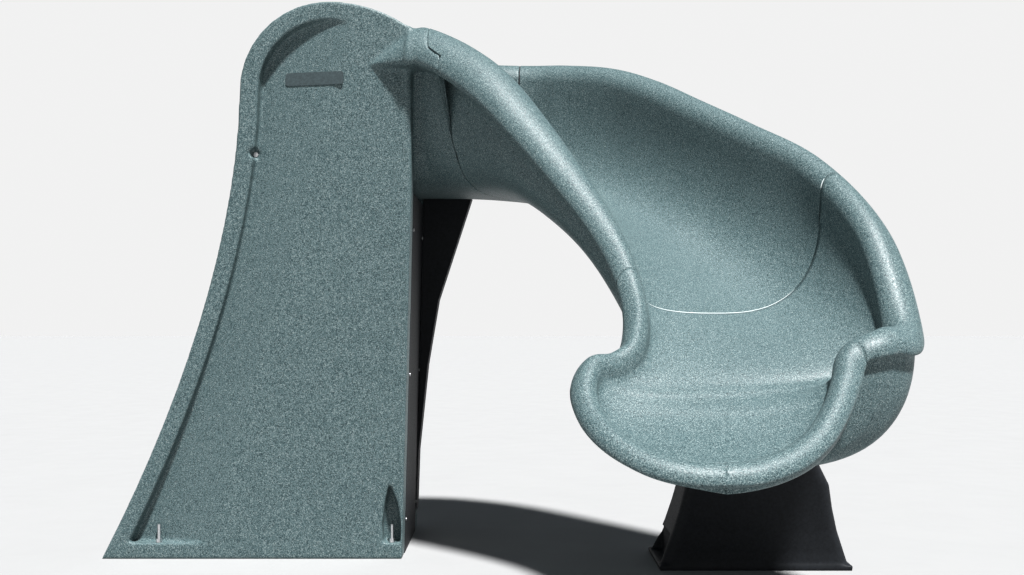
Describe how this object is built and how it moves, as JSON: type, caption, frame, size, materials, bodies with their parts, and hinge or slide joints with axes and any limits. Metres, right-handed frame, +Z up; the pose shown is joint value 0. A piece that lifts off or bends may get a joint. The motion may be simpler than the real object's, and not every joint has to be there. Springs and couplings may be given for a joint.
{
  "type": "pool slide",
  "caption": "Freestanding right-turn pool slide with moulded stair tower, two-section flume, one support leg and a hose-fed water spray.",
  "frame": {"origin": "on the deck plane, under the centre of the whole slide seen from above", "axes": "+Z up, +X from the stairs towards the flume, +Y from the run-out side towards the back of the tower"},
  "size_m": [2.6053, 1.9328, 1.953],
  "materials": {
    "shell": "granite speckle, light texture",
    "dark_plastic": "moulded, matt black",
    "steel": "stainless, satin",
    "brass": "turned",
    "seal": "closed-cell foam",
    "rubber": "matt",
    "pipe": "smooth white",
    "badge": "satin",
    "lever": "dipped vinyl"
  },
  "bodies": {
    "slide": {"near_side_panel": "shell", "far_side_panel": "shell", "tower_brace": "dark_plastic", "brace_dowels": "steel", "tread_1": "shell", "tread_2": "shell", "tread_3": "shell", "tread_4": "shell", "seat_deck": "shell", "stair_back": "dark_plastic", "seat_channel": "shell", "flume_upper": "shell", "flume_lower": "shell", "seat_seal": "rubber", "flume_seal": "seal", "support_leg": "dark_plastic", "flume_post": "dark_plastic", "leg_saddle": "steel", "saddle_bolts": "steel", "leg_bolts": "steel", "joint_bolts": "steel", "joint_nuts": "steel", "tread_bolts": "steel", "deck_bolts": "steel", "deck_nuts": "steel", "back_screws": "steel", "seat_dowels": "steel", "anchor_studs": "steel", "anchor_washers": "steel", "anchor_nuts": "steel", "badge_plate": "badge", "hose_tailpiece": "brass", "hose_washer": "rubber", "valve_body": "brass", "supply_pipe": "pipe", "spray_nozzles": "dark_plastic", "pipe_clips": "pipe"},
    "hose_nut": {"hose_swivel_nut": "brass"},
    "valve_spindle": {"valve_ball": "steel", "valve_lever": "lever", "lever_screw": "steel"}
  },
  "joints": [
    {"name": "hose_nut_spin", "type": "hinge", "parent": "slide", "child": "hose_nut", "pos_m": [-0.535, 0.882, 0.18], "axis": [0, 0, 1], "continuous": true},
    {"name": "valve_turn", "type": "hinge", "parent": "slide", "child": "valve_spindle", "pos_m": [-0.535, 0.882, 0.267], "axis": [0, 1, 0], "range_deg": [0, 90]}
  ]
}
